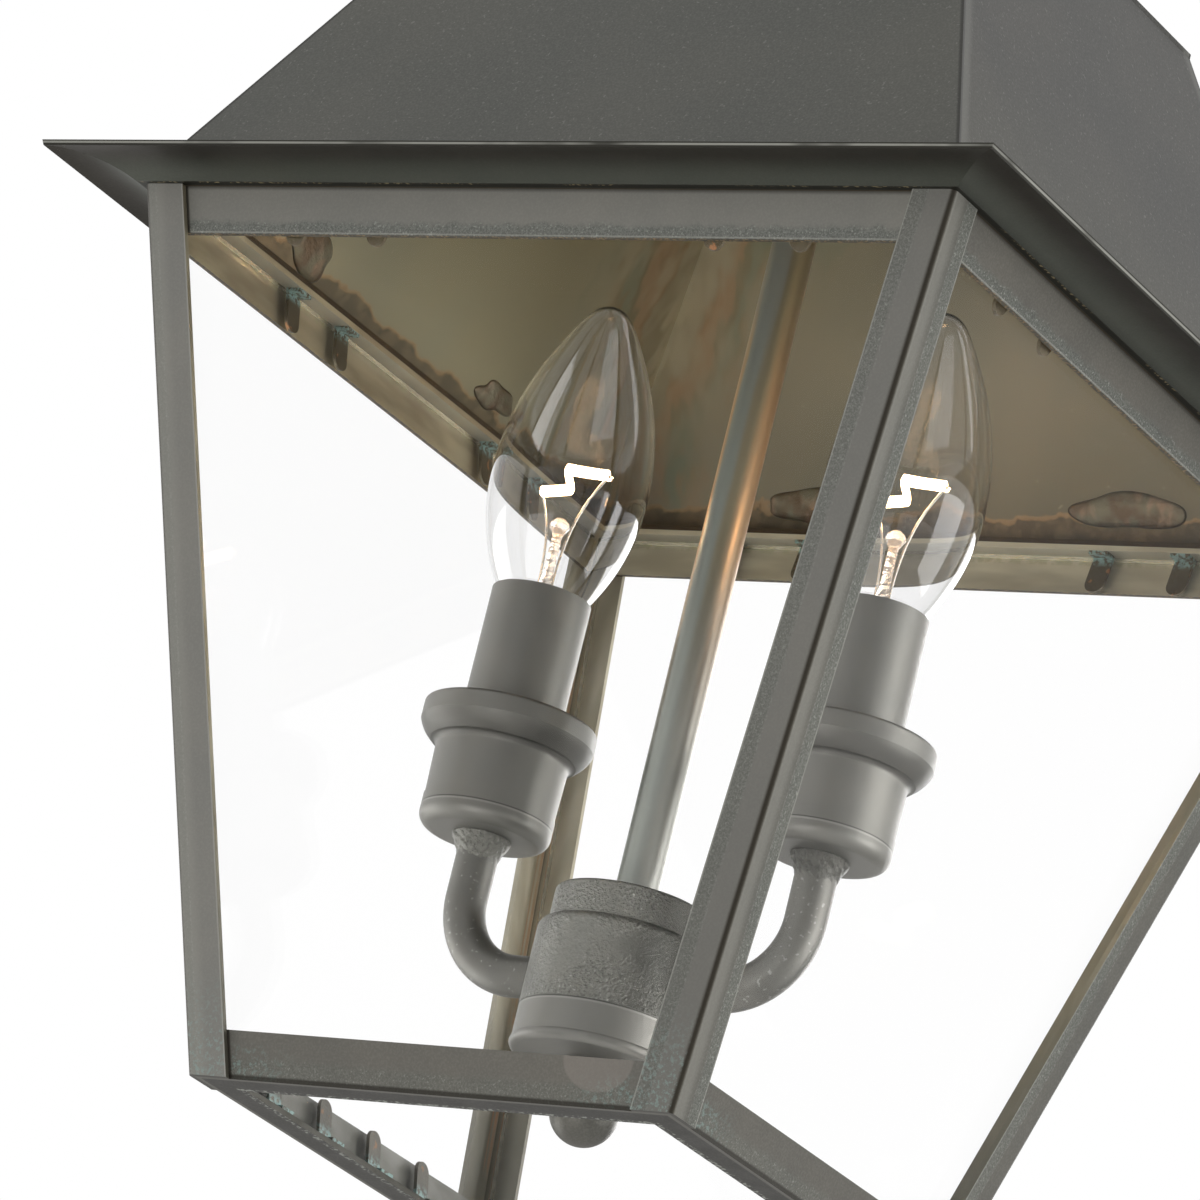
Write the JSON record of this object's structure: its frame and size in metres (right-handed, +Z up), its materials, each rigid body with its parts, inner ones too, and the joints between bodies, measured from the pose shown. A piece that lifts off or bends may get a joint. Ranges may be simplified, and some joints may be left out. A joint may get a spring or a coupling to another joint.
{
  "type": "outdoor pendant light",
  "caption": "Tapered square glazed lantern with a hipped roof, an open bottom and a candle cluster, hung by a short chain from a round ceiling canopy.",
  "frame": {"origin": "middle of the ceiling face, on top of the crossbar", "axes": "+Z up, X along the two arms of the candle cluster, -Y towards the face that the picture shows at the left"},
  "size_m": [0.2334, 0.2334, 0.5017],
  "materials": {
    "patina_brass": "charcoal patina over brass sheet, satin",
    "cast_brass": "sand-cast brass with a charcoal patina, satin and grainy",
    "raw_brass": "dull aged brass with solder and green patina",
    "window_glass": "clear flat glass",
    "bulb_glass": "clear blown glass",
    "nickel_brass": "nickel-plated brass, bright",
    "plated_steel": "zinc-plated steel, dull",
    "moulded_socket": "black moulded phenolic, matte"
  },
  "bodies": {
    "ceiling_fixture": {"crossbar": "plated_steel", "loop_locknut": "plated_steel", "canopy_loop": "patina_brass"},
    "canopy": {"canopy": "patina_brass", "screw_collar": "patina_brass"},
    "link_1": {"chain_link_1": "patina_brass"},
    "link_2": {"chain_link_2": "patina_brass"},
    "link_3": {"chain_link_3": "patina_brass"},
    "lantern": {"post_front_left": "patina_brass", "post_front_right": "patina_brass", "post_back_right": "patina_brass", "post_back_left": "patina_brass", "top_rail_front": "patina_brass", "top_rail_right": "patina_brass", "top_rail_back": "patina_brass", "top_rail_left": "patina_brass", "bottom_rail_front": "patina_brass", "bottom_rail_right": "patina_brass", "bottom_rail_back": "patina_brass", "bottom_rail_left": "patina_brass", "glass_front": "window_glass", "glass_right": "window_glass", "glass_back": "window_glass", "glass_left": "window_glass", "brim_front": "patina_brass", "brim_right": "patina_brass", "brim_back": "patina_brass", "brim_left": "patina_brass", "roof_front": "patina_brass", "roof_right": "patina_brass", "roof_back": "patina_brass", "roof_left": "patina_brass", "roof_plate": "patina_brass", "chimney": "patina_brass", "chimney_cap": "patina_brass", "lantern_loop": "patina_brass", "top_clips": "raw_brass", "bottom_clips": "raw_brass", "stem": "patina_brass", "stem_nuts": "plated_steel", "hub_cap": "cast_brass", "hub_body": "cast_brass", "arm_left": "patina_brass", "arm_right": "patina_brass", "cup_left": "patina_brass", "cup_right": "patina_brass", "lampholder_left": "moulded_socket", "lampholder_right": "moulded_socket", "candle_left": "patina_brass", "candle_right": "patina_brass"},
    "hub_cover": {"hub_cover": "patina_brass", "hub_finial": "patina_brass"},
    "bulb_left": {"bulb_glass_left": "bulb_glass", "bulb_base_left": "nickel_brass", "bulb_mount_left": "bulb_glass"},
    "bulb_right": {"bulb_glass_right": "bulb_glass", "bulb_base_right": "nickel_brass", "bulb_mount_right": "bulb_glass"}
  },
  "joints": [
    {"name": "link_1_swing", "type": "hinge", "parent": "ceiling_fixture", "child": "link_1", "pos_m": [0, 0, -0.0522], "axis": [1, 0, 0], "range_deg": [-25, 25]},
    {"name": "link_2_swing", "type": "hinge", "parent": "link_1", "child": "link_2", "pos_m": [0, 0, -0.0821], "axis": [0, 1, 0], "range_deg": [-25, 25]},
    {"name": "link_3_swing", "type": "hinge", "parent": "link_2", "child": "link_3", "pos_m": [0, 0, -0.1122], "axis": [1, 0, 0], "range_deg": [-25, 25]},
    {"name": "lantern_swing", "type": "hinge", "parent": "link_3", "child": "lantern", "pos_m": [0, 0, -0.1423], "axis": [0, 1, 0], "range_deg": [-20, 20]},
    {"name": "canopy_lower", "type": "slide", "parent": "ceiling_fixture", "child": "canopy", "axis": [0, 0, -1], "range_m": [0, 0.018]},
    {"name": "hub_cover_lower", "type": "slide", "parent": "lantern", "child": "hub_cover", "axis": [0, 0, -1], "range_m": [0, 0.014]},
    {"name": "bulb_left_unscrew", "type": "slide", "parent": "lantern", "child": "bulb_left", "axis": [0, 0, 1], "range_m": [0, 0.024]},
    {"name": "bulb_right_unscrew", "type": "slide", "parent": "lantern", "child": "bulb_right", "axis": [0, 0, 1], "range_m": [0, 0.024]}
  ]
}
